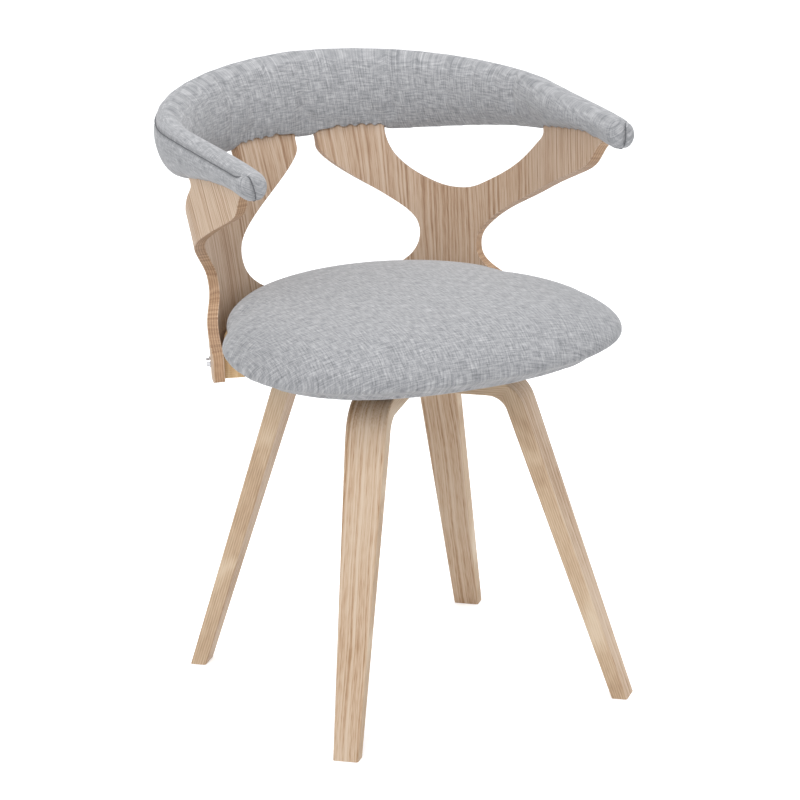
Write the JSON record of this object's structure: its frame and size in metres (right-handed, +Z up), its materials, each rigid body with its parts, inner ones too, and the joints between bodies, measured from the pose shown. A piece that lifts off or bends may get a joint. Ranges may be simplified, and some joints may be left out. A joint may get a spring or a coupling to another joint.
{
  "type": "swivel dining chair",
  "caption": "Swivel dining chair with a round upholstered seat, a bent-ply shell cut as crossing bands under a padded wrap-around rest, and splayed bent-ply legs.",
  "frame": {"origin": "on the floor, under the swivel axis", "axes": "+Z up along the swivel axis, -Y to the front of the seat, +X to the sitter's left"},
  "size_m": [0.5312, 0.6466, 0.748],
  "materials": {
    "leg_ply": "whitewashed ash veneer, clear satin lacquer",
    "shell_ply": "whitewashed ash veneer, clear satin lacquer",
    "board_ply": "bare birch plywood",
    "upholstery": "light grey slub linen weave",
    "dust_cloth": "thin black non-woven cloth",
    "plate_steel": "black powder coat",
    "zinc_steel": "bright zinc plate",
    "bright_bolts": "satin nickel plate",
    "ball_steel": "polished bearing steel",
    "cage_plastic": "natural nylon"
  },
  "bodies": {
    "base": {"leg_frame_lower": "leg_ply", "leg_frame_upper": "leg_ply", "frame_bolts": "zinc_steel", "frame_washers": "zinc_steel", "frame_tee_nuts": "zinc_steel", "swivel_lower_plate": "plate_steel", "swivel_balls": "ball_steel", "ball_cage": "cage_plastic", "swivel_pin": "zinc_steel"},
    "seat": {"swivel_upper_plate": "plate_steel", "plate_screws": "zinc_steel", "seat_board": "board_ply", "rim_rail": "board_ply", "rail_screws": "zinc_steel", "dust_cover": "dust_cloth", "seat_cushion": "upholstery", "back_shell": "shell_ply", "shell_bolts": "bright_bolts", "shell_washers": "bright_bolts", "shell_inserts": "zinc_steel", "back_band": "upholstery", "arm_end_caps": "upholstery"}
  },
  "joints": [
    {"name": "seat_swivel", "type": "hinge", "parent": "base", "child": "seat", "pos_m": [0, 0, 0.427], "axis": [0, 0, 1], "continuous": true}
  ]
}
